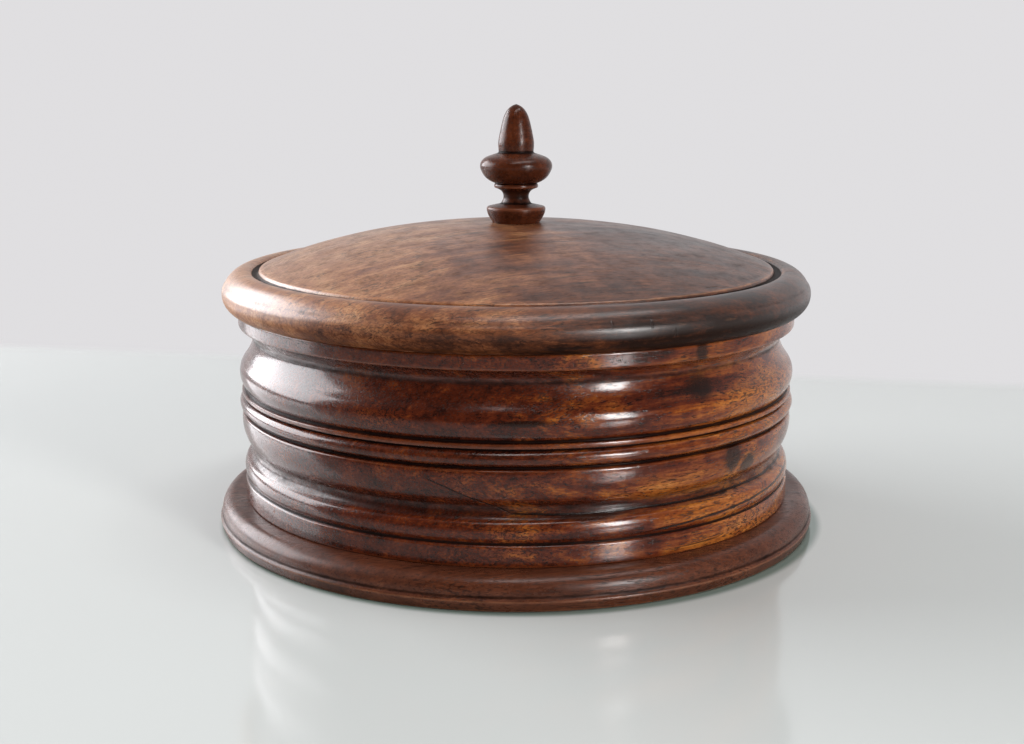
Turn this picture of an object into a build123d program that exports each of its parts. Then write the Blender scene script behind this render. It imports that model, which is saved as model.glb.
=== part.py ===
from build123d import *
import os

# Turned wooden tobacco jar with a lift-off lid.  One unit is one millimetre.
# The jar stands on z = 0 with its turning axis on +Z.

# Clearances and allowances
lid_register_clearance = 0.5
foot_register_clearance = 0.15
liner_below_rim = 1.2
hole_end_gap = 0.6

# Overall sizes
lid_radius = 100.0
foot_radius = 103.4
body_radius = 95.0
wall_thickness = 12.0

# Heights of the turned bands, each counted from the one below it
foot_height = 10.4
base_band_height = 6.6
base_quirk_height = 0.6
lower_bulge_height = 6.3
waist_height = 5.9
ovolo_height = 10.1
bead_quirk_height = 0.9
bead_height = 4.7
upper_quirk_height = 0.7
fillet_height = 1.5
upper_bulge_height = 9.4
cove_height = 6.8
neck_step_height = 4.6
neck_band_height = 4.9

# How far each band stands inside the body radius
base_band_inset = 0.8
base_quirk_inset = 1.7
lower_bulge_inset = 0.7
waist_inset = 3.9
ovolo_inset = 0.1
quirk_inset = 1.9
bead_inset = -0.3
fillet_inset = 0.5
cove_inset = 4.8

# Foot disc
foot_edge_height = 3.5
foot_bottom_inset = 1.1
foot_hollow_depth = 0.8
foot_flat_radius = 97.4
foot_spigot_height = 5.0

# Lid
lid_edge_height = 6.2
lid_rim_height = 13.2
rim_crown_radius = 92.4
rim_crown_width = 2.4
groove_width = 2.8
groove_depth = 1.8
dome_radius = 87.4
dome_edge_height = 13.2
dome_edge_step = 1.0
dome_height = 27.6
dome_fullness = 2.4
dome_flat_radius = 9.4
lid_flange_width = 8.0
lid_flange_depth = 5.0
lid_crown_thickness = 12.0
lid_roof_flat_radius = 14.0

# Finial
finial_base_radius = 8.0
finial_ring_radius = 10.1
finial_ring_height = 5.5
finial_stem_radius = 4.3
finial_stem_height = 6.2
finial_collar_radius = 7.5
finial_collar_height = 1.3
finial_cup_radius = 12.3
finial_cup_height = 12.0
finial_acorn_radius = 6.2
finial_acorn_height = 16.1
finial_tenon_radius = 4.0
finial_tenon_length = 7.0

# Lead lining
lead_thickness = 1.6

# Screws that hold the foot on
screw_count = 4
screw_radius = 2.0
screw_head_radius = 4.0
screw_head_height = 2.2
screw_recess = 0.8
screw_length = 22.0
screw_slot_width = 1.0
screw_slot_depth = 0.9

# Levels that follow from the heights
body_bottom = foot_height
base_band_top = body_bottom + base_band_height
lower_bulge_bottom = base_band_top + base_quirk_height
lower_bulge_top = lower_bulge_bottom + lower_bulge_height
waist_top = lower_bulge_top + waist_height
ovolo_top = waist_top + ovolo_height
bead_bottom = ovolo_top + bead_quirk_height
bead_top = bead_bottom + bead_height
fillet_bottom = bead_top + upper_quirk_height
fillet_top = fillet_bottom + fillet_height
upper_bulge_bottom = fillet_top + upper_quirk_height
upper_bulge_top = upper_bulge_bottom + upper_bulge_height
cove_bottom = upper_bulge_top + cove_height
neck_bottom = cove_bottom + neck_step_height
seat_level = neck_bottom + neck_band_height

bore_radius = body_radius - wall_thickness
liner_radius = bore_radius - lead_thickness
spigot_radius = bore_radius - foot_register_clearance
floor_level = foot_height + foot_spigot_height
flange_radius = liner_radius - lid_register_clearance
flange_inner_radius = flange_radius - lid_flange_width
dome_top = seat_level + dome_height
screw_circle_radius = body_radius - wall_thickness / 2


def chain(start, *steps):
    """Close a run of lines and curves, given as (radius, height), into a face.

    A step is one end point for a line, a pair of points for an arc, or a
    list of points for a free curve through all of them.
    """
    edges = []
    here = start
    for step in steps:
        if isinstance(step, list):
            edges.append(Spline(here, *step))
            here = step[-1]
        elif isinstance(step[0], tuple):
            edges.append(ThreePointArc(here, step[0], step[1]))
            here = step[1]
        else:
            edges.append(Line(here, step))
            here = step
    edges.append(Line(here, start))
    return make_face(edges)


def turned(face):
    """Turn a face drawn as (radius, height) about the jar's axis."""
    return revolve(Plane.XZ * face, axis=Axis.Z)


def make_screws():
    """Four countersunk screws, heads down, standing in the foot."""
    screws = []
    neck_level = screw_recess + screw_head_height
    for spot in PolarLocations(screw_circle_radius, screw_count):
        profile = chain(
            (0, screw_recess),
            (screw_head_radius, screw_recess),
            (screw_radius, neck_level),
            (screw_radius, screw_length - screw_radius),
            (0, screw_length),
        )
        slot = Box(
            2 * screw_head_radius + 1,
            screw_slot_width,
            2 * screw_slot_depth,
        )
        screws.append(spot * (turned(profile) - Pos(0, 0, screw_recess) * slot))
    return screws


def make_screw_holes():
    """What the screws and their heads take out of the foot and the body."""
    holes = []
    for spot in PolarLocations(screw_circle_radius, screw_count):
        profile = chain(
            (0, -1),
            (screw_head_radius, -1),
            (screw_head_radius, screw_recess),
            (screw_radius, screw_recess + screw_head_height),
            (screw_radius, screw_length + hole_end_gap),
            (0, screw_length + hole_end_gap),
        )
        holes.append(spot * turned(profile))
    return holes


def make_foot():
    """Moulded plinth disc with the round register that enters the body."""
    hollow_radius = foot_radius - foot_hollow_depth
    rise = foot_height - foot_edge_height
    run = hollow_radius - foot_flat_radius
    profile = chain(
        (0, 0),
        (foot_radius - foot_bottom_inset, 0),
        (foot_radius, foot_edge_height),
        (
            (hollow_radius - 0.05, foot_edge_height + rise * 0.13),
            (hollow_radius, foot_edge_height + rise * 0.28),
        ),
        (
            (foot_flat_radius + run * 0.74, foot_edge_height + rise * 0.79),
            (foot_flat_radius, foot_height),
        ),
        (spigot_radius, foot_height),
        (spigot_radius, floor_level),
        (0, floor_level),
    )
    return turned(profile)


def make_body():
    """Turned wall of the jar with its mouldings, open at both ends."""
    band = body_radius - base_band_inset
    lower = body_radius - lower_bulge_inset
    waist = body_radius - waist_inset
    ovolo = body_radius - ovolo_inset
    quirk = body_radius - quirk_inset
    bead = body_radius - bead_inset
    fillet = body_radius - fillet_inset
    cove = body_radius - cove_inset
    profile = chain(
        (bore_radius, body_bottom),
        (band, body_bottom),
        (band, base_band_top),
        (body_radius - base_quirk_inset, base_band_top + 0.1),
        (body_radius - base_quirk_inset, lower_bulge_bottom),
        (
            (lower, lower_bulge_bottom + lower_bulge_height * 0.42),
            (lower - 0.9, lower_bulge_top),
        ),
        (
            (waist, lower_bulge_top + waist_height * 0.42),
            (waist + 1.4, waist_top),
        ),
        (
            (ovolo - 0.35, waist_top + ovolo_height * 0.55),
            (ovolo - 0.5, ovolo_top),
        ),
        (quirk, ovolo_top + 0.1),
        (quirk, bead_bottom),
        (
            (bead, bead_bottom + bead_height * 0.5),
            (quirk + 0.4, bead_top),
        ),
        (quirk, bead_top),
        (quirk, fillet_bottom),
        (fillet, fillet_bottom),
        (fillet, fillet_top),
        (quirk, fillet_top),
        (quirk, upper_bulge_bottom),
        (
            (body_radius, upper_bulge_bottom + upper_bulge_height * 0.45),
            (body_radius - 1.6, upper_bulge_top),
        ),
        (
            (cove + 1.1, upper_bulge_top + cove_height * 0.5),
            (cove, cove_bottom),
        ),
        (
            (cove + 1.5, cove_bottom + neck_step_height * 0.62),
            (body_radius - 0.1, neck_bottom),
        ),
        (body_radius, neck_bottom + 0.3),
        (body_radius, seat_level - 0.3),
        (body_radius - 0.3, seat_level),
        (bore_radius, seat_level),
    )
    return turned(profile)


def make_liner_wall():
    """Sheet lead dressed against the inside of the body."""
    profile = chain(
        (liner_radius, floor_level + lead_thickness),
        (bore_radius, floor_level + lead_thickness),
        (bore_radius, seat_level - liner_below_rim),
        (liner_radius, seat_level - liner_below_rim),
    )
    return turned(profile)


def make_liner_floor():
    """Round lead floor that the liner wall stands on."""
    profile = chain(
        (0, floor_level),
        (bore_radius, floor_level),
        (bore_radius, floor_level + lead_thickness),
        (0, floor_level + lead_thickness),
    )
    return turned(profile)


def make_lid():
    """Domed lid with a rolled rim, a sunk line, and a flange below."""
    rim_top = seat_level + lid_rim_height
    widest = seat_level + lid_edge_height
    roof = dome_top - lid_crown_thickness
    dome_edge = seat_level + dome_edge_height
    groove_outer = dome_radius + groove_width
    outer = lid_radius - body_radius
    dome_drop = dome_top - dome_edge
    dome = [
        (dome_radius * k, dome_top - dome_drop * k**dome_fullness)
        for k in (0.35, 0.6, 0.8, 0.92, 1.0)
    ]
    hollow_drop = roof - widest
    hollow = [
        (flange_inner_radius * k, roof - hollow_drop * k**3)
        for k in (0.9, 0.7, 0.45)
    ]
    profile = chain(
        (0, dome_top),
        (dome_flat_radius, dome_top),
        dome,
        (dome_radius + 0.2, dome_edge - dome_edge_step),
        (
            (dome_radius + groove_width * 0.42, rim_top - groove_depth),
            (groove_outer, rim_top - 0.5),
        ),
        (
            (rim_crown_radius, rim_top),
            (rim_crown_radius + rim_crown_width, rim_top - 0.5),
        ),
        (
            (lid_radius - 1.8, (rim_top + widest) / 2 + 0.5),
            (lid_radius, widest),
        ),
        (
            (lid_radius - 1.0, seat_level + lid_edge_height * 0.36),
            (body_radius + outer * 0.25, seat_level),
        ),
        (flange_radius, seat_level),
        (flange_radius, seat_level - lid_flange_depth),
        (flange_inner_radius, seat_level - lid_flange_depth),
        (flange_inner_radius, seat_level),
        [*hollow, (lid_roof_flat_radius, roof)],
        (0, roof),
    )
    socket = chain(
        (0, dome_top - finial_tenon_length - hole_end_gap),
        (finial_tenon_radius, dome_top - finial_tenon_length - hole_end_gap),
        (finial_tenon_radius, dome_top + 1),
        (0, dome_top + 1),
    )
    return turned(profile) - turned(socket)


def make_finial():
    """Turned acorn knob with a round tenon that goes into the lid."""
    base = dome_top
    ring = base + finial_ring_height
    collar = ring + finial_stem_height
    cup_top = collar + finial_cup_height
    tip = cup_top + finial_acorn_height
    profile = chain(
        (0, base - finial_tenon_length),
        (finial_tenon_radius, base - finial_tenon_length),
        (finial_tenon_radius, base),
        (finial_base_radius, base),
        [
            (finial_ring_radius - 0.6, base + finial_ring_height * 0.45),
            (finial_ring_radius, base + finial_ring_height * 0.84),
            (finial_ring_radius - 0.4, ring),
        ],
        (finial_stem_radius + 0.9, ring + 1.0),
        [
            (finial_stem_radius, ring + finial_stem_height * 0.5),
            (finial_stem_radius + 0.6, ring + finial_stem_height * 0.82),
            (finial_collar_radius - 0.7, collar),
        ],
        (finial_collar_radius, collar + 0.2),
        (finial_collar_radius, collar + finial_collar_height),
        (finial_collar_radius - 0.5, collar + finial_collar_height + 0.3),
        [
            (finial_cup_radius * 0.72, collar + finial_cup_height * 0.2),
            (finial_cup_radius * 0.87, collar + finial_cup_height * 0.32),
            (finial_cup_radius * 0.97, collar + finial_cup_height * 0.49),
            (finial_cup_radius, collar + finial_cup_height * 0.61),
            (finial_cup_radius * 0.97, collar + finial_cup_height * 0.74),
            (finial_cup_radius * 0.83, collar + finial_cup_height * 0.87),
            (finial_acorn_radius + 0.3, collar + finial_cup_height * 0.98),
        ],
        (finial_acorn_radius - 0.3, cup_top),
        [
            (finial_acorn_radius - 0.1, cup_top + finial_acorn_height * 0.18),
            (finial_acorn_radius * 0.92, cup_top + finial_acorn_height * 0.36),
            (finial_acorn_radius * 0.71, cup_top + finial_acorn_height * 0.7),
            (finial_acorn_radius * 0.5, cup_top + finial_acorn_height * 0.87),
            (finial_acorn_radius * 0.24, cup_top + finial_acorn_height * 0.96),
            (0, tip),
        ],
    )
    return turned(profile)


screw_holes = make_screw_holes()
foot = make_foot()
body = make_body()
for hole in screw_holes:
    foot = foot - hole
    body = body - hole

parts = {
    "foot": foot,
    "body": body,
    "liner_wall": make_liner_wall(),
    "liner_floor": make_liner_floor(),
    "foot_screws": Compound(children=make_screws()),
    "lid": make_lid(),
    "finial": make_finial(),
}

os.makedirs("parts", exist_ok=True)
for name, shape in parts.items():
    shape.label = name
    export_step(shape, f"parts/{name}.step")
    box = shape.bounding_box()
    print(name, box.min, box.max, "volume", round(shape.volume))
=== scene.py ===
import math

import bmesh
import bpy
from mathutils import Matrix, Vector, noise


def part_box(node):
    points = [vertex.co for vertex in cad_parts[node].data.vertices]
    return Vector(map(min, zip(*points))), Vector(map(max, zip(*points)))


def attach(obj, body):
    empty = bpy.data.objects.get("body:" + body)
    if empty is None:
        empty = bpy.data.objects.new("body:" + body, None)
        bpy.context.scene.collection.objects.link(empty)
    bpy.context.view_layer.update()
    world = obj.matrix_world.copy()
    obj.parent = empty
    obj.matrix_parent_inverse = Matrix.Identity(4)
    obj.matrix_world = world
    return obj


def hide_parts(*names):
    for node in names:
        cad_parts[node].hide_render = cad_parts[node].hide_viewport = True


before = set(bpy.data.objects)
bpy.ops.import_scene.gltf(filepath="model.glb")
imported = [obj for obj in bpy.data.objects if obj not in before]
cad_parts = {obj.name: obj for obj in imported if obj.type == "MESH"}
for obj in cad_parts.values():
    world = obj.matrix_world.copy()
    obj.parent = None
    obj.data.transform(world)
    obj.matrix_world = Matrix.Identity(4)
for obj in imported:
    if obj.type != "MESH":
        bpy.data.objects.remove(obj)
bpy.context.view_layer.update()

# The looks of a turned wooden jar: its four wooden pieces spun from outlines, their woods, the
# metal of the lining and screws, the table, the wall, the light and the camera

MM = 0.001

# Levels and radii of the turned work in millimetres. What the solids show is read from them.
LOW, HIGH = 0, 1


def level(node, end):
    """Height of the lower or upper end of a solid."""
    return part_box(node)[end].z / MM


def reach(node):
    """Largest radius of a turned solid."""
    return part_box(node)[HIGH].x / MM


FOOT_R = reach("foot")
FOOT_EDGE_TOP = 3.5
FOOT_FLAT_R = 97.4
FOOT_TOP = level("body", LOW)
FLOOR = level("foot", HIGH)
SPIGOT_R = 82.85
SEAM_R = 93.0

BODY_R = 95.0
BASE_BAND_R = 94.2
FILLET_R = 94.5
QUIRK_R = 93.1
BORE_R = reach("liner_floor")
BASE_BAND_TOP = 17.0
LOWER_BULGE_BOTTOM = 17.6
LOWER_BULGE_TOP = 23.9
WAIST_TOP = 29.8
OVOLO_TOP = 39.9
BEAD_BOTTOM = 40.8
BEAD_TOP = 45.5
FILLET_BOTTOM = 46.2
FILLET_TOP = 47.7
UPPER_BULGE_BOTTOM = 48.4
UPPER_BULGE_TOP = 57.8
COVE_TOP = 64.6
NECK_STEP_TOP = 69.2
SEAT = level("body", HIGH)

LID_R = reach("lid")
FLANGE_R = 80.9
FLANGE_INNER_R = 72.9
FLANGE_BOTTOM = level("lid", LOW)
DOME_R = 87.4
DOME_TOP = level("lid", HIGH)
DOME_EDGE = SEAT + 13.2
DOME_FALL = DOME_TOP - DOME_EDGE
WIDEST = SEAT + 6.2
ROOF = DOME_TOP - 12.0
ROOF_FLAT_R = 14.0
TENON_R = 4.0
TENON_BOTTOM = level("finial", LOW)
SOCKET_BOTTOM = TENON_BOTTOM - 0.6

SCREW_COUNT = 4
SCREW_R = 2.0
SCREW_HEAD_R = 4.0
SCREW_RECESS = 0.8
SCREW_NECK = 3.0
SCREW_CIRCLE_R = 89.0


# Outlines, as lists of (radius, height) points

TINY = 1e-9
ARC_STEPS = 24
CURVE_STEPS = 8
SLOPE_STEPS = 2


def arc(a, b, c):
    """Points on the circle through a, b and c, from a to c."""
    ax, ay = a
    bx, by = b
    cx, cy = c
    d = 2 * (ax * (by - cy) + bx * (cy - ay) + cx * (ay - by))
    aa = ax * ax + ay * ay
    bb = bx * bx + by * by
    cc = cx * cx + cy * cy
    middle_x = (aa * (by - cy) + bb * (cy - ay) + cc * (ay - by)) / d
    middle_y = (aa * (cx - bx) + bb * (ax - cx) + cc * (bx - ax)) / d
    radius = math.hypot(ax - middle_x, ay - middle_y)
    start = math.atan2(ay - middle_y, ax - middle_x)
    halfway = math.atan2(by - middle_y, bx - middle_x)
    end = math.atan2(cy - middle_y, cx - middle_x)
    turn = (end - start) % (2 * math.pi)
    if (halfway - start) % (2 * math.pi) > turn:
        turn -= 2 * math.pi
    angles = [start + turn * i / ARC_STEPS for i in range(1, ARC_STEPS + 1)]
    return [(middle_x + radius * math.cos(t), middle_y + radius * math.sin(t)) for t in angles]


def curve(points):
    """Points on a smooth curve through all the given points, without the first."""
    out = []
    padded = [points[0]] + list(points) + [points[-1]]
    for i in range(1, len(padded) - 2):
        p0, p1, p2, p3 = padded[i - 1:i + 3]
        for k in range(1, CURVE_STEPS + 1):
            t = k / CURVE_STEPS
            out.append(tuple(
                0.5 * (2 * p1[j] + (p2[j] - p0[j]) * t
                       + (2 * p0[j] - 5 * p1[j] + 4 * p2[j] - p3[j]) * t * t
                       + (3 * p1[j] - p0[j] - 3 * p2[j] + p3[j]) * t ** 3)
                for j in (0, 1)))
    return out


def chain(start, *steps):
    """A line of (radius, height) points.

    A step is one point for a line, a pair of points for an arc, or a list of
    points for a free curve through them.
    """
    points = [start]
    for step in steps:
        if isinstance(step, list):
            points += curve([points[-1]] + step)
        elif isinstance(step[0], tuple):
            points += arc(points[-1], step[0], step[1])
        else:
            points.append(step)
    return points


def raised(points, height):
    """The same line moved up."""
    return [(r, z + height) for r, z in points]


def distance(a, b):
    return math.hypot(b[0] - a[0], b[1] - a[1])


def resample(points, spacing):
    """The same line with points an even distance apart."""
    shortest_end = 0.3 * spacing
    out = [points[0]]
    carry = 0.0
    for a, b in zip(points, points[1:]):
        length = distance(a, b)
        if length < TINY:
            continue
        travelled = spacing - carry
        while travelled < length:
            t = travelled / length
            out.append((a[0] + (b[0] - a[0]) * t, a[1] + (b[1] - a[1]) * t))
            travelled += spacing
        carry = length - (travelled - spacing)
    if distance(out[-1], points[-1]) > shortest_end:
        out.append(points[-1])
    else:
        out[-1] = points[-1]
    return out


def soften(points, rounds):
    """Ease every corner of a line a little, as handling does."""
    for _ in range(rounds):
        inner = [
            ((a[0] + 2 * b[0] + c[0]) / 4, (a[1] + 2 * b[1] + c[1]) / 4)
            for a, b, c in zip(points, points[1:], points[2:])
        ]
        points = [points[0]] + inner + [points[-1]]
    return points


def solid_side(loop):
    """+1 if a closed line runs with its solid on the left, else -1."""
    area = sum(a[0] * b[1] - b[0] * a[1] for a, b in zip(loop, loop[1:] + loop[:1]))
    return 1 if area > 0 else -1


def hollows(points, near_by, side):
    """How deep each point lies in a groove (+) or stands on an edge (-), in mm.

    Near_by is how many points count as its surroundings on either side.
    """
    out = []
    last = len(points) - 1
    for i, p in enumerate(points):
        near = points[max(0, i - near_by):min(last, i + near_by) + 1]
        mean = (sum(q[0] for q in near) / len(near), sum(q[1] for q in near) / len(near))
        a = points[max(0, i - SLOPE_STEPS)]
        b = points[min(last, i + SLOPE_STEPS)]
        length = distance(a, b)
        if length < TINY:
            out.append(0.0)
            continue
        normal = (side * (b[1] - a[1]) / length, -side * (b[0] - a[0]) / length)
        out.append((mean[0] - p[0]) * normal[0] + (mean[1] - p[1]) * normal[1])
    return out


# Turned pieces

# How far round a point its depth in a groove is measured, in mm
GROOVE_REACH = 1.6
SOFTENING = 2
# The uneven wear: its depth in mm, the size in the noise of the ring that a turn of the piece
# follows, and the height in mm of one unit of the noise
WOBBLE = 0.11
WOBBLE_RING = 2.6
WOBBLE_HEIGHT = 26
# Rings at either end of the show side that stay true, because they meet other surfaces
TRUE_ENDS = 3
ON_AXIS = 1e-4
SHARP_ANGLE = math.radians(40)
HOLE_SIDES = 48


def uneven(angle, z):
    """How far old turned wood has shrunk and worn back here, in mm."""
    place = Vector((WOBBLE_RING * math.cos(angle), WOBBLE_RING * math.sin(angle),
                    z / WOBBLE_HEIGHT))
    return WOBBLE * (0.5 + 0.5 * noise.noise(place))


def turns(count):
    """Evenly spaced angles of a full turn."""
    return [2 * math.pi * k / count for k in range(count)]


def ring(bm, radii, z, middle=(0.0, 0.0)):
    """A vertex for each radius, evenly spaced around a middle, all in mm."""
    return [
        bm.verts.new(((middle[0] + r * math.cos(angle)) * MM,
                      (middle[1] + r * math.sin(angle)) * MM, z * MM))
        for r, angle in zip(radii, turns(len(radii)))
    ]


def bridge(bm, low, high):
    """Faces between two rings, where a ring of one vertex is a pole."""
    count = max(len(low), len(high))
    for k in range(count):
        n = (k + 1) % count
        if len(low) == 1 and len(high) == 1:
            continue
        if len(low) == 1:
            bm.faces.new((low[0], high[n], high[k]))
        elif len(high) == 1:
            bm.faces.new((low[k], low[n], high[0]))
        else:
            bm.faces.new((low[k], low[n], high[n], high[k]))


def made(name, bm):
    """A new object from finished bmesh work."""
    bmesh.ops.recalc_face_normals(bm, faces=bm.faces)
    mesh = bpy.data.meshes.new(name)
    bm.to_mesh(mesh)
    bm.free()
    piece = bpy.data.objects.new(name, mesh)
    bpy.context.scene.collection.objects.link(piece)
    return piece


def lathe(name, shown, hidden, body, node, segments=288, spacing=0.38):
    """Spin a show side and a plain hidden side into one closed turned piece.

    The show side is worn a little unevenly. Its "groove" attribute says how
    deep each vertex lies in a groove.
    """
    side = solid_side(shown + hidden)
    shown = soften(resample(shown, spacing), SOFTENING)
    depth = hollows(shown, round(GROOVE_REACH / spacing), side)
    depth += [0.0] * len(hidden)
    worn_part = range(TRUE_ENDS, len(shown) - TRUE_ENDS)
    bm = bmesh.new()
    groove = bm.verts.layers.float.new("groove")
    rings = []
    for i, ((r, z), deep) in enumerate(zip(shown + hidden, depth)):
        angles = turns(segments if r > ON_AXIS else 1)
        worn = [uneven(angle, z) if i in worn_part else 0.0 for angle in angles]
        rings.append(ring(bm, [r * (1 - w / FOOT_R) for w in worn], z))
        for vertex in rings[-1]:
            vertex[groove] = deep
    for low, high in zip(rings, rings[1:] + rings[:1]):
        bridge(bm, low, high)
    piece = made(name, bm)
    piece.data.shade_smooth()
    piece.data.set_sharp_from_angle(angle=SHARP_ANGLE)
    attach(piece, body)
    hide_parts(node)
    return piece


def drill_screw_holes(piece):
    """Cut the countersunk screw holes through the foot."""
    outline = ((SCREW_HEAD_R, -1.0), (SCREW_HEAD_R, SCREW_RECESS), (SCREW_R, SCREW_NECK),
               (SCREW_R, FLOOR + 1))
    bm = bmesh.new()
    for turn in turns(SCREW_COUNT):
        middle = (SCREW_CIRCLE_R * math.cos(turn), SCREW_CIRCLE_R * math.sin(turn))
        rings = [ring(bm, [r] * HOLE_SIDES, z, middle) for r, z in outline]
        for low, high in zip(rings, rings[1:]):
            bridge(bm, low, high)
        bm.faces.new(rings[0])
        bm.faces.new(rings[-1])
    cutter = made("screw_hole_cutter", bm)
    cut = piece.modifiers.new("screw_holes", "BOOLEAN")
    cut.operation = "DIFFERENCE"
    cut.solver = "EXACT"
    cut.object = cutter
    bpy.context.view_layer.update()
    evaluated = piece.evaluated_get(bpy.context.evaluated_depsgraph_get())
    done = bpy.data.meshes.new_from_object(evaluated)
    piece.modifiers.clear()
    done.name = piece.name
    piece.data = done
    done.set_sharp_from_angle(angle=SHARP_ANGLE)
    bpy.data.objects.remove(cutter)


# Materials

class Nodes:
    """Short calls for building one node material."""

    def __init__(self, name):
        self.material = bpy.data.materials.new(name)
        self.material.use_nodes = True
        self.tree = self.material.node_tree
        self.tree.nodes.clear()
        self.shader = self.add("ShaderNodeBsdfPrincipled")
        self.output = self.add("ShaderNodeOutputMaterial")
        self.link(self.shader.outputs["BSDF"], self.output.inputs["Surface"])

    def add(self, kind, **settings):
        node = self.tree.nodes.new(kind)
        for key, value in settings.items():
            setattr(node, key, value)
        return node

    def link(self, source, target):
        self.tree.links.new(source, target)

    def feed(self, socket, value):
        """Link another node's output to a socket, or set the socket to a number."""
        if isinstance(value, bpy.types.NodeSocket):
            self.link(value, socket)
        elif value is not None:
            socket.default_value = value

    def math(self, operation, a, b=None, c=None):
        node = self.add("ShaderNodeMath", operation=operation)
        for socket, value in zip(node.inputs, (a, b, c)):
            self.feed(socket, value)
        return node.outputs[0]

    def hypot(self, a, b):
        squares = self.math("MULTIPLY_ADD", a, a, self.math("MULTIPLY", b, b))
        return self.math("SQRT", squares)

    def mix(self, factor, a, b):
        node = self.add("ShaderNodeMix", data_type="RGBA", clamp_factor=True)
        self.feed(node.inputs[0], factor)
        self.feed(node.inputs[6], a)
        self.feed(node.inputs[7], b)
        return node.outputs[2]

    def span(self, value, low, high, to_low=0.0, to_high=1.0):
        """Map low to to_low and high to to_high, smoothly and never beyond them."""
        node = self.add("ShaderNodeMapRange", interpolation_type="SMOOTHSTEP")
        for socket, v in zip(node.inputs, (value, low, high, to_low, to_high)):
            self.feed(socket, v)
        return node.outputs[0]

    def ramp(self, value, stops):
        node = self.add("ShaderNodeValToRGB")
        elements = node.color_ramp.elements
        while len(elements) < len(stops):
            elements.new(0.5)
        for element, (place, colour) in zip(elements, stops):
            element.position = place
            element.color = (*colour, 1)
        self.feed(node.inputs[0], value)
        return node.outputs[0]

    def noise(self, vector, scale=1.0, detail=3.0, roughness=0.5, distortion=0.0):
        node = self.add("ShaderNodeTexNoise")
        self.feed(node.inputs["Vector"], vector)
        self.feed(node.inputs["Scale"], scale)
        self.feed(node.inputs["Detail"], detail)
        self.feed(node.inputs["Roughness"], roughness)
        self.feed(node.inputs["Distortion"], distortion)
        return node.outputs[0]

    def swing(self, value, weight, total=0.0):
        """Add a noise to a total so that its middle value adds nothing."""
        return self.math("MULTIPLY_ADD", self.math("SUBTRACT", value, 0.5), weight, total)

    def place(self, turn=(0, 0, 0), stretch=(1, 1, 1)):
        """Object coordinates in millimetres, turned and then stretched."""
        coords = self.add("ShaderNodeTexCoord").outputs["Object"]
        turned = self.add("ShaderNodeMapping", vector_type="POINT")
        self.link(coords, turned.inputs["Vector"])
        turned.inputs["Rotation"].default_value = turn
        turned.inputs["Scale"].default_value = (1 / MM, 1 / MM, 1 / MM)
        squeezed = self.add("ShaderNodeMapping", vector_type="POINT")
        self.link(turned.outputs[0], squeezed.inputs["Vector"])
        squeezed.inputs["Scale"].default_value = stretch
        return squeezed.outputs[0]

    def axes(self):
        """X, Y and Z of the object coordinates in millimetres."""
        node = self.add("ShaderNodeSeparateXYZ")
        self.link(self.place(), node.inputs[0])
        return node.outputs

    def bump(self, height, strength, depth, normal=None):
        node = self.add("ShaderNodeBump")
        node.inputs["Strength"].default_value = strength
        node.inputs["Distance"].default_value = depth
        self.feed(node.inputs["Height"], height)
        self.feed(node.inputs["Normal"], normal)
        return node.outputs[0]


def around(n):
    """Angle from the front in degrees, positive to the right, and height in mm."""
    x, y, z = n.axes()
    angle = n.math("DEGREES", n.math("ARCTAN2", x, n.math("MULTIPLY", y, -1.0)))
    return angle, z


def from_axis(n):
    """Distance from the turning axis in mm."""
    x, y, _ = n.axes()
    return n.hypot(x, y)


def band(n, value, low, high, soft):
    """1 between low and high, fading to 0 over soft on both sides."""
    rise = n.span(value, low - soft, low + soft)
    fall = n.span(value, high - soft, high + soft, 1.0, 0.0)
    return n.math("MULTIPLY", rise, fall)


def split_line(n, angle, height, start, end, width, wobble):
    """A thin wandering line on the turned face between two (angle, height) points."""
    slope = (end[1] - start[1]) / (end[0] - start[0])
    line = n.math("MULTIPLY_ADD", angle, slope, start[1] - start[0] * slope)
    off = n.math("ABSOLUTE", n.math("ADD", n.math("SUBTRACT", height, line), wobble))
    thin = n.span(off, width * 0.35, width, 1.0, 0.0)
    return n.math("MULTIPLY", thin, band(n, angle, start[0], end[0], 1.2))


def spot(n, angle, height, centre, size, rough_edge):
    """A ragged patch, centre and half size given as (angle, height)."""
    du = n.math("DIVIDE", n.math("SUBTRACT", angle, centre[0]), size[0])
    dv = n.math("DIVIDE", n.math("SUBTRACT", height, centre[1]), size[1])
    return n.span(n.math("ADD", n.hypot(du, dv), rough_edge), 0.5, 1.3, 1.0, 0.0)


def most(n, masks):
    """The strongest of several masks."""
    total = masks[0]
    for mask in masks[1:]:
        total = n.math("MAXIMUM", total, mask)
    return total


def stain(n, colour, mask, amount, tint):
    return n.mix(n.math("MULTIPLY", mask, amount), colour, (*tint, 1))


# Near black brown: the painted shade in the grooves, and the split lines
NEAR_BLACK = (0.005, 0.0025, 0.002)
HEARTWOOD = (0.01, 0.003, 0.0015)

# Noises of the wood: features per mm along, across and up the grain, then detail, roughness
# and distortion
GRAIN = {
    "streaks": ((0.011, 0.17, 0.2), 6, 0.62, 0.6),
    "patches": ((0.03, 0.024, 0.045), 4, 0.6, 0.8),
    "threads": ((0.045, 0.8, 0.9), 4, 0.65, 0.3),
    "figure": ((0.17, 0.02, 0.04), 3, 0.55, 0.5),
    "grit": ((0.7, 1.3, 1.5), 3, 0.7, 0.0),
    "veins": ((0.008, 0.3, 0.42), 3, 0.5, 0.4),
    "pores": ((0.3, 1.9, 2.3), 2, 0.5, 0.0),
    "rags": ((0.16, 0.2, 0.5), 3, 0.65, 0.0),
    "haze": ((0.04, 0.05, 0.08), 4, 0.6, 0.0),
}
# How far each of these noises moves the tone, for a contrast of 1
TONE_WEIGHTS = {"streaks": 1.5, "patches": 1.0, "threads": 1.1, "figure": 0.5, "grit": 0.9}

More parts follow.
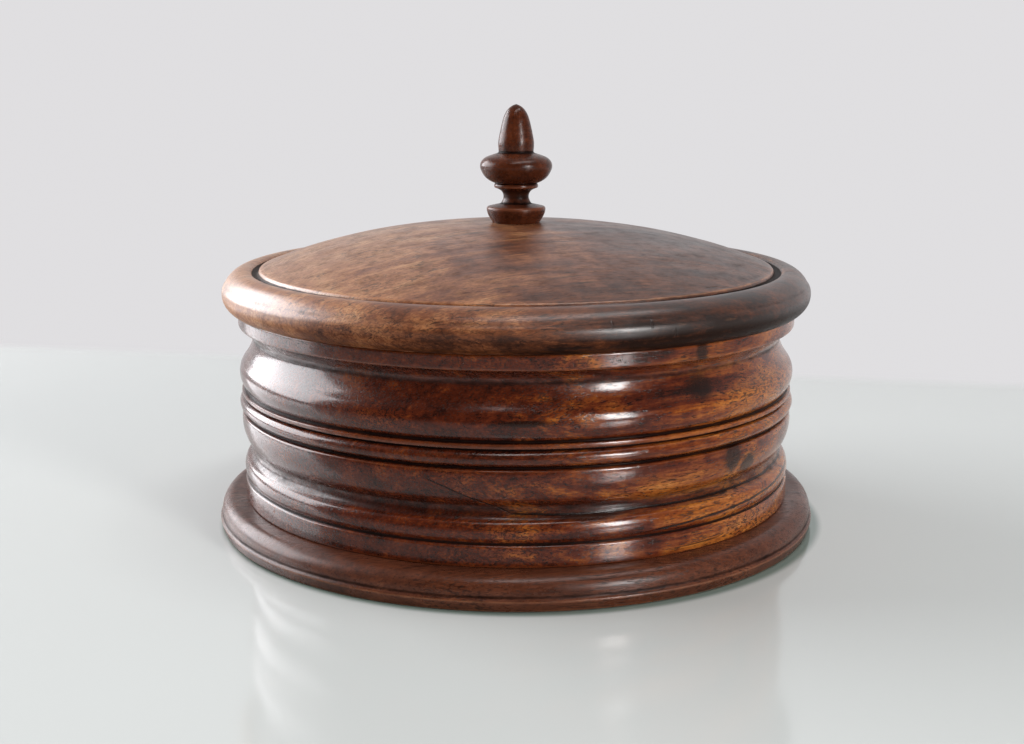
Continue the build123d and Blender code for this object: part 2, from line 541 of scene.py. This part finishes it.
VEIN_LEVEL = 0.46
VEIN_WIDTH = (0.004, 0.02)
VEIN_STRENGTH = 0.75
PORE_SPAN = (0.55, 0.61)
# The painted groove shade: how deep in a groove it starts and is full, and how dark it gets
GROOVE_SPAN = (0.03, 0.26)
GROOVE_SHADE_STRENGTH = 0.93
EDGE_SPAN = (0.15, 0.34)
DRY_SHINE = 0.2
DULL_SPAN = (0.3, 0.95)
# Strength and depth in metres of the bumps
GRIT_BUMP = (0.05, 0.0003)
THREAD_BUMP = (0.05, 0.0004)
PORE_BUMP = (0.12, 0.0003)
SCAR_BUMP = (0.5, 0.0005)


def wood(name, tones, grain_turn, rough, middle, contrast, shine, polish, worn_tone, wear,
         groove_widen, pore_strength, zone=None, marks=None, sheltered=None):
    """Polished old hardwood: streaks, figure, pores, stains, wear, and painted shade with grime
    in the grooves.

    The tones run from dark to light. Middle says where on them the wood lies
    on average, and contrast how far it strays. Groove widening spreads the
    painted shade and grime of the grooves. Zone shifts the tone from place to
    place, and marks adds single stains and scars. Where the wood is sheltered,
    as it is in its grooves, it has lost its polish.
    """
    n = Nodes(name)
    grain = {key: n.noise(n.place((0, 0, grain_turn), stretch), 1.0, *settings)
             for key, (stretch, *settings) in GRAIN.items()}

    tone = middle
    for key, weight in TONE_WEIGHTS.items():
        tone = n.swing(grain[key], weight * contrast, tone)
    if zone is not None:
        tone = n.math("ADD", tone, zone(n, grain))
    colour = n.ramp(tone, [(i / (len(tones) - 1), c) for i, c in enumerate(tones)])

    # Dark veins and pores, most of all in the lighter patches of the wood
    off_vein = n.math("ABSOLUTE", n.math("SUBTRACT", grain["veins"], VEIN_LEVEL))
    veins = n.math("MULTIPLY", n.span(off_vein, *VEIN_WIDTH, 1.0, 0.0),
                   n.span(grain["patches"], 0.38, 0.58))
    colour = stain(n, colour, veins, VEIN_STRENGTH, HEARTWOOD)
    crowd = n.span(grain["patches"], 0.35, 0.65, 0.05, -0.03)
    pores = n.span(n.math("SUBTRACT", grain["pores"], crowd), *PORE_SPAN)
    colour = stain(n, colour, pores, pore_strength, HEARTWOOD)

    # Painted shade, with some grime, darkens the grooves; wear lightens the edges
    groove = n.add("ShaderNodeAttribute", attribute_name="groove").outputs["Fac"]
    ragged = n.swing(grain["rags"], 0.2)
    groove_mask = n.span(n.math("ADD", groove, ragged), *(limit - groove_widen for limit in GROOVE_SPAN))
    colour = stain(n, colour, groove_mask, GROOVE_SHADE_STRENGTH, NEAR_BLACK)
    edge = n.span(n.math("SUBTRACT", n.math("MULTIPLY", ragged, 1.5), groove), *EDGE_SPAN)
    colour = stain(n, colour, edge, wear, worn_tone)
    scar = None
    if marks is not None:
        colour, scar = marks(n, colour, ragged)
    n.link(colour, n.shader.inputs["Base Color"])

    dull = n.math("MULTIPLY_ADD", groove_mask, 0.4, grain["haze"])
    dull = n.math("MULTIPLY_ADD", pores, 0.3, dull)
    dull = n.swing(grain["grit"], 0.2, dull)
    n.feed(n.shader.inputs["Roughness"], n.span(dull, *DULL_SPAN, *rough))
    dry = groove_mask if sheltered is None else n.math("MAXIMUM", groove_mask, sheltered(n))
    n.feed(n.shader.inputs["Specular IOR Level"],
           n.span(dry, 0.0, 1.0, shine, DRY_SHINE * shine))
    if polish:
        n.feed(n.shader.inputs["Coat Weight"], n.span(dry, 0.0, 1.0, polish, 0.0))
        n.shader.inputs["Coat Roughness"].default_value = rough[0]

    normal = n.bump(grain["grit"], *GRIT_BUMP)
    normal = n.bump(grain["threads"], *THREAD_BUMP, normal)
    normal = n.bump(n.math("MULTIPLY", pores, -1.0), *PORE_BUMP, normal)
    if scar is not None:
        normal = n.bump(n.math("MULTIPLY", scar, -1.0), *SCAR_BUMP, normal)
    n.link(normal, n.shader.inputs["Normal"])
    return n.material


def plain_metal(name, colour, rough, scale, strength):
    """Dull metal with uneven tarnish and small dents."""
    n = Nodes(name)
    coords = n.place()
    patch = n.noise(coords, scale, 5, 0.6, 0.6)
    dark = tuple(c * 0.55 for c in colour)
    n.link(n.ramp(patch, [(0.35, dark), (0.7, colour)]), n.shader.inputs["Base Color"])
    n.feed(n.shader.inputs["Roughness"], n.span(patch, 0.3, 0.7, *rough))
    n.shader.inputs["Metallic"].default_value = 0.85
    n.link(n.bump(n.noise(coords, scale * 2.3), strength, 0.0006), n.shader.inputs["Normal"])
    return n.material


def give(piece, material):
    piece.data.materials.clear()
    piece.data.materials.append(material)


# Marks on the turned faces. Places and half sizes are (degrees from the front, mm up).
KNOTS = (
    ((36.5, 60.5), (3.4, 4.2)),
    ((44.5, 37.0), (2.6, 5.5)),
    ((50.0, 33.0), (2.6, 4.0)),
    ((35.0, 72.0), (1.6, 4.0)),
    ((2.0, 54.0), (5.0, 1.0)),
)
# The hairline split, two dark grain lines and a short crack: start, end and width in mm
BODY_LINES = (
    ((-16.0, 36.5), (-1.0, 26.0), 0.3),
    ((-1.5, 26.0), (84.0, 25.2), 0.45),
    ((26.0, 19.2), (76.0, 22.8), 0.5),
    ((54.6, 15.5), (57.2, 24.0), 0.6),
)
CHIP = ((14.0, 25.0), (6.5, 1.2))
RIM_NICKS = (
    ((15.6, WIDEST + 2.4), (0.3, 0.9)),
    ((22.6, WIDEST + 2.0), (0.3, 1.1)),
    ((27.0, WIDEST - 1.0), (0.2, 1.3)),
)
# These two have a distance from the axis in place of the height
DOME_SCRATCHES = (
    ((44.0, DOME_R - 2.2), (2.0, 0.5)),
    ((47.0, DOME_R - 1.2), (1.6, 0.4)),
)
# How the lighter, more orange wood of the body grows per mm along X and Y
ORANGE_WAY = (0.0086, -0.0046)


def body_zone(n, grain):
    """The lighter, more orange wood of the block comes out on the right."""
    x, y, _ = n.axes()
    side = n.math("MULTIPLY_ADD", x, ORANGE_WAY[0], n.math("MULTIPLY", y, ORANGE_WAY[1]))
    side = n.swing(grain["patches"], 0.7, side)
    side = n.swing(grain["streaks"], 0.9, side)
    return n.span(side, 0.42, 0.95, -0.05, 0.28)


def body_marks(n, colour, ragged):
    """Knots, the hairline split, the dark grain lines and the rough chip."""
    angle, height = around(n)
    torn = n.math("MULTIPLY", ragged, 3.0)
    knots = most(n, [spot(n, angle, height, *knot, torn) for knot in KNOTS])
    colour = stain(n, colour, knots, 0.85, HEARTWOOD)
    drift = n.swing(n.noise(n.place(stretch=(0.06, 0.06, 0.06)), detail=3, roughness=0.6), 1.6)
    lines = most(n, [split_line(n, angle, height, *line, drift) for line in BODY_LINES])
    chip = spot(n, angle, height, *CHIP, n.math("MULTIPLY", ragged, 6.0))
    colour = stain(n, colour, lines, 0.92, NEAR_BLACK)
    colour = stain(n, colour, chip, 0.8, HEARTWOOD)
    return colour, n.math("MAXIMUM", lines, n.math("MULTIPLY", chip, 0.7))


def lid_painted_light_and_shade(n, grain):
    """Painted light and shade: the lid is paler towards the lit left, amid the wood's own
    patches, and its rim is darkened away from the far left, most of all below the widest edge.
    """
    x, y, z = n.axes()
    side = n.swing(grain["patches"], 110.0, n.math("MULTIPLY", x, -1.0))
    painted_light = n.span(side, -50.0, 60.0, -0.14, 0.32)
    rim = n.span(n.hypot(x, y), DOME_R - 1.0, DOME_R + 3.0, 0.0, 0.15)
    below = n.span(z, WIDEST - 2.0, WIDEST + 3.0, 0.2, 0.0)
    painted_shade = n.math("MULTIPLY", n.math("ADD", rim, below), n.span(x, -85.0, -50.0))
    return n.math("SUBTRACT", painted_light, painted_shade)


def lid_underside(n):
    """1 on the lower half of the rim, where no cloth has polished it."""
    height = n.axes()[2]
    return n.span(height, WIDEST - 3.5, WIDEST + 2.0, 1.0, 0.0)


def lid_marks(n, colour, ragged):
    """Small nicks on the rim and two short scratches at the dome's edge."""
    angle, height = around(n)
    radius = from_axis(n)
    nicks = [spot(n, angle, height, *nick, ragged) for nick in RIM_NICKS]
    nicks += [spot(n, angle, radius, *scratch, ragged) for scratch in DOME_SCRATCHES]
    scar = most(n, nicks)
    return stain(n, colour, scar, 0.5, HEARTWOOD), scar


body_wood = wood(
    "body_wood",
    tones=[(0.006, 0.0015, 0.001), (0.028, 0.0055, 0.0025), (0.085, 0.015, 0.005),
           (0.18, 0.043, 0.009), (0.33, 0.105, 0.018), (0.48, 0.19, 0.04)],
    grain_turn=math.radians(-34), rough=(0.13, 0.3), middle=0.4, contrast=0.46,
    shine=0.32, polish=0.15, worn_tone=(0.2, 0.055, 0.018), wear=0.3, groove_widen=0.0,
    pore_strength=0.75, zone=body_zone, marks=body_marks)
foot_wood = wood(
    "foot_wood",
    tones=[(0.006, 0.002, 0.0015), (0.035, 0.01, 0.005), (0.1, 0.03, 0.014), (0.2, 0.08, 0.04)],
    grain_turn=math.radians(-12), rough=(0.24, 0.46), middle=0.56, contrast=0.45,
    shine=0.24, polish=0.0, worn_tone=(0.24, 0.1, 0.05), wear=0.5, groove_widen=0.0,
    pore_strength=0.6)
lid_wood = wood(
    "lid_wood",
    tones=[(0.012, 0.004, 0.002), (0.06, 0.017, 0.006), (0.16, 0.05, 0.018),
           (0.32, 0.13, 0.05), (0.48, 0.25, 0.12)],
    grain_turn=math.radians(-18), rough=(0.32, 0.5), middle=0.45, contrast=0.56,
    shine=0.38, polish=0.4, worn_tone=(0.42, 0.2, 0.1), wear=0.6, groove_widen=0.1,
    pore_strength=0.4, zone=lid_painted_light_and_shade, marks=lid_marks, sheltered=lid_underside)
finial_wood = wood(
    "finial_wood",
    tones=[(0.005, 0.0015, 0.001), (0.03, 0.007, 0.003), (0.09, 0.022, 0.008), (0.2, 0.06, 0.02)],
    grain_turn=math.radians(90), rough=(0.18, 0.4), middle=0.54, contrast=0.5,
    shine=0.2, polish=0.0, worn_tone=(0.2, 0.06, 0.025), wear=0.35, groove_widen=0.0,
    pore_strength=0.4)
lead_material = plain_metal("dull_lead", (0.33, 0.34, 0.36), (0.42, 0.66), 0.05, 0.35)
screw_material = plain_metal("old_steel", (0.4, 0.37, 0.33), (0.3, 0.5), 0.4, 0.2)


# Foot, from the table up its moulded edge to the seam with the body
foot_shown = chain(
    (98.0, 0.0), (FOOT_R - 1.1, 0.0), (FOOT_R, FOOT_EDGE_TOP),
    ((102.55, 4.4), (102.6, 5.43)),
    ((101.25, 8.95), (FOOT_FLAT_R, FOOT_TOP)),
    (SEAM_R, FOOT_TOP),
)
foot_hidden = [(SPIGOT_R, FOOT_TOP), (SPIGOT_R, FLOOR), (0.0, FLOOR), (0.0, 0.0)]
foot = lathe("foot_disc", foot_shown, foot_hidden, "jar", "foot")
drill_screw_holes(foot)
give(foot, foot_wood)

# Body, from the foot up to the seat of the lid: base band, quirk, lower bulge, waist, ovolo,
# quirk, bead, quirk, fillet, quirk, upper bulge, cove, neck step and neck band
body_shown = chain(
    (SEAM_R, FOOT_TOP), (BASE_BAND_R, FOOT_TOP), (BASE_BAND_R, BASE_BAND_TOP),
    (93.3, BASE_BAND_TOP + 0.1), (93.3, LOWER_BULGE_BOTTOM),
    ((94.3, 20.2), (93.4, LOWER_BULGE_TOP)),
    ((91.1, 26.4), (92.5, WAIST_TOP)),
    ((94.55, 35.4), (94.4, OVOLO_TOP)),
    (QUIRK_R, OVOLO_TOP + 0.1), (QUIRK_R, BEAD_BOTTOM),
    ((95.3, 43.15), (93.5, BEAD_TOP)),
    (QUIRK_R, BEAD_TOP), (QUIRK_R, FILLET_BOTTOM),
    (FILLET_R, FILLET_BOTTOM), (FILLET_R, FILLET_TOP),
    (QUIRK_R, FILLET_TOP), (QUIRK_R, UPPER_BULGE_BOTTOM),
    ((BODY_R, 52.6), (93.4, UPPER_BULGE_TOP)),
    ((91.3, 61.2), (90.2, COVE_TOP)),
    ((91.7, 67.4), (BODY_R - 0.1, NECK_STEP_TOP)),
    (BODY_R, NECK_STEP_TOP + 0.3), (BODY_R, SEAT - 0.3), (BODY_R - 0.3, SEAT), (SEAM_R, SEAT),
)
body_hidden = [(BORE_R, SEAT), (BORE_R, FOOT_TOP)]
body = lathe("body_wall", body_shown, body_hidden, "jar", "body")
give(body, body_wood)

# Lid, from the finial over the dome, the sunk line and the rolled rim to its seat, then the
# flange and the hollow underside
dome = [(DOME_R * k, DOME_TOP - DOME_FALL * k ** 2.4) for k in (0.35, 0.6, 0.8, 0.92, 1.0)]
hollow = [(FLANGE_INNER_R * k, ROOF - (ROOF - WIDEST) * k ** 3) for k in (0.9, 0.7, 0.45)]
lid_shown = chain(
    (9.4, DOME_TOP), dome,
    (DOME_R + 0.2, DOME_EDGE - 1.0),
    ((88.58, DOME_EDGE - 1.8), (90.2, DOME_EDGE - 0.5)),
    ((92.4, DOME_EDGE), (94.8, DOME_EDGE - 0.5)),
    ((97.3, WIDEST + 4.9), (98.95, WIDEST + 2.6)),
    ((99.8, WIDEST + 1.3), (LID_R, WIDEST)),
    ((99.0, SEAT + 2.23), (96.25, SEAT)),
    (94.0, SEAT),
)
lid_hidden = [(FLANGE_R, SEAT), (FLANGE_R, FLANGE_BOTTOM), (FLANGE_INNER_R, FLANGE_BOTTOM),
              (FLANGE_INNER_R, SEAT)]
lid_hidden += curve([(FLANGE_INNER_R, SEAT)] + hollow + [(ROOF_FLAT_R, ROOF)])
lid_hidden += [(0.0, ROOF), (0.0, SOCKET_BOTTOM), (TENON_R, SOCKET_BOTTOM), (TENON_R, DOME_TOP)]
lid = lathe("lid_disc", lid_shown, lid_hidden, "lid_with_finial", "lid", spacing=0.4)
give(lid, lid_wood)

# Finial, with heights counted from the top of the dome: ring, stem, collar, cup and acorn
finial_shown = raised(chain(
    (8.0, 0.0),
    [(9.5, 2.5), (10.1, 4.6), (9.7, 5.5)],
    (5.2, 6.5),
    [(4.3, 8.6), (4.9, 10.6), (6.8, 11.7)],
    (7.5, 11.9), (7.5, 13.0), (7.0, 13.3),
    [(8.86, 14.1), (10.7, 15.55), (11.93, 17.6), (12.3, 19.0),
     (11.93, 20.6), (10.2, 22.15), (6.5, 23.45)],
    (5.9, 23.7),
    [(6.1, 26.6), (5.7, 29.5), (4.4, 35.0), (3.1, 37.7), (1.5, 39.2), (0.0, 39.8)],
), DOME_TOP)
finial_hidden = [(0.0, TENON_BOTTOM), (TENON_R, TENON_BOTTOM), (TENON_R, DOME_TOP)]
finial = lathe("acorn_finial", finial_shown, finial_hidden, "lid_with_finial", "finial",
               segments=96, spacing=0.22)
give(finial, finial_wood)

# The lead lining and the screws keep their solids
for node, material in (("liner_wall", lead_material), ("liner_floor", lead_material),
                       ("foot_screws", screw_material)):
    give(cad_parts[node], material)


# Floor and wall, with sizes in metres

WALL_TONE = (0.745, 0.735, 0.75, 1)
GLASS_TONE = (0.54, 0.565, 0.55, 1)
GREEN_PAINTED_SHADOW = (0.07, 0.13, 0.1, 1)
TABLE_FRONT = -3
TABLE_DEPTH = 1.9
HALF_WIDTH = 4
WALL_HEIGHT = 3
# The painted green contact shadow round the foot and the end of the glass behind the jar, in
# millimetres
SHADOW_MIDDLE = (1.6, -0.9)
SHADOW_SPAN = (102.5, 105.8)
SHADOW_STRENGTH = 0.8
GLASS_END = (236.0, 262.0)
GLASS_END_SLANT = 0.19


def sheet(name, outline, material):
    mesh = bpy.data.meshes.new(name)
    mesh.from_pydata(outline, [], [tuple(range(len(outline)))])
    piece = bpy.data.objects.new(name, mesh)
    bpy.context.scene.collection.objects.link(piece)
    piece.data.materials.append(material)


def backdrop(n, mask=None):
    """Show the plain wall tone to the camera and in reflections, where the mask is 1."""
    glow = n.add("ShaderNodeEmission")
    glow.inputs["Color"].default_value = WALL_TONE
    path = n.add("ShaderNodeLightPath")
    seen = n.math("MAXIMUM", path.outputs["Is Camera Ray"], path.outputs["Is Glossy Ray"])
    seen = n.math("MAXIMUM", seen, path.outputs["Is Transmission Ray"])
    if mask is not None:
        seen = n.math("MULTIPLY", seen, mask)
    swap = n.add("ShaderNodeMixShader")
    n.link(seen, swap.inputs[0])
    n.link(n.shader.outputs[0], swap.inputs[1])
    n.link(glow.outputs[0], swap.inputs[2])
    n.link(swap.outputs[0], n.output.inputs["Surface"])
    return n.material


def floor_material():
    """Pale glass top, which fades into the wall behind, with a painted green contact shadow round
    the foot.
    """
    n = Nodes("pale_glass_top")
    x, y, _ = n.axes()
    off_jar = n.hypot(n.math("SUBTRACT", x, SHADOW_MIDDLE[0]),
                      n.math("SUBTRACT", y, SHADOW_MIDDLE[1]))
    # Painted shadow: a green ring on the glass just round the foot, set off to the right and
    # front
    painted_shadow = n.span(off_jar, *SHADOW_SPAN, 1.0, 0.0)
    n.link(n.mix(n.math("MULTIPLY", painted_shadow, SHADOW_STRENGTH), GLASS_TONE, GREEN_PAINTED_SHADOW),
           n.shader.inputs["Base Color"])
    n.shader.inputs["Roughness"].default_value = 0.12
    n.shader.inputs["Specular IOR Level"].default_value = 0.8
    far = n.math("MULTIPLY_ADD", x, GLASS_END_SLANT, y)
    return backdrop(n, n.span(far, *GLASS_END))


def wall_material():
    n = Nodes("pale_wall")
    n.shader.inputs["Base Color"].default_value = (0.8, 0.79, 0.8, 1)
    n.shader.inputs["Roughness"].default_value = 0.8
    return backdrop(n)


sheet("table_top",
      [(-HALF_WIDTH, TABLE_FRONT, 0), (HALF_WIDTH, TABLE_FRONT, 0),
       (HALF_WIDTH, TABLE_DEPTH, 0), (-HALF_WIDTH, TABLE_DEPTH, 0)],
      floor_material())
sheet("back_wall",
      [(-HALF_WIDTH, TABLE_DEPTH, 0), (HALF_WIDTH, TABLE_DEPTH, 0),
       (HALF_WIDTH, TABLE_DEPTH, WALL_HEIGHT), (-HALF_WIDTH, TABLE_DEPTH, WALL_HEIGHT)],
      wall_material())


# Light and camera

def lamp(name, place, target, size, glow, colour=(1, 1, 1)):
    """A flat lamp whose face has the brightness glow, where 1 is white."""
    light = bpy.data.lights.new(name, "AREA")
    light.shape = "RECTANGLE"
    light.size, light.size_y = size
    light.energy = glow * math.pi * size[0] * size[1]
    light.color = colour
    holder = bpy.data.objects.new(name, light)
    holder.location = place
    holder.rotation_euler = (Vector(target) - Vector(place)).to_track_quat("-Z", "Y").to_euler()
    bpy.context.scene.collection.objects.link(holder)


def room_air():
    """Soft light that grows from the dark room in front to the bright wall behind."""
    world = bpy.data.worlds.new("room_air")
    bpy.context.scene.world = world
    world.use_nodes = True
    nodes = world.node_tree.nodes
    links = world.node_tree.links
    ways = nodes.new("ShaderNodeTexCoord")
    axes = nodes.new("ShaderNodeSeparateXYZ")
    fade = nodes.new("ShaderNodeMapRange")
    links.new(ways.outputs["Generated"], axes.inputs[0])
    links.new(axes.outputs["Y"], fade.inputs["Value"])
    fade.inputs["From Min"].default_value = -0.45
    fade.inputs["From Max"].default_value = 0.6
    fade.inputs["To Min"].default_value = 0.05
    fade.inputs["To Max"].default_value = 0.75
    links.new(fade.outputs[0], nodes["Background"].inputs["Strength"])
    nodes["Background"].inputs["Color"].default_value = (0.86, 0.86, 0.88, 1)


lamp("window", (-1.3, 0.55, 0.55), (0, 0.1, 0.06), (1.5, 0.95), 9.5, (0.98, 0.97, 1.0))
lamp("window_right", (0.85, -1.06, 0.4), (0, 0, 0.05), (0.24, 0.5), 42, (1.0, 0.98, 0.97))
lamp("ceiling_strip", (0.3, -0.32, 1.6), (0, 0, 0), (1.5, 0.3), 8)
room_air()

CAMERA_PLACE = (-0.0014, -0.4879, 0.1518)
CAMERA_DIP = math.radians(11.88)
camera_data = bpy.data.cameras.new("camera")
camera_data.lens = 50.0
camera_data.sensor_width = 36.0
camera = bpy.data.objects.new("camera", camera_data)
camera.location = CAMERA_PLACE
camera.rotation_euler = (math.pi / 2 - CAMERA_DIP, 0, 0)
bpy.context.scene.collection.objects.link(camera)
bpy.context.scene.camera = camera
bpy.context.scene.view_settings.view_transform = "Standard"
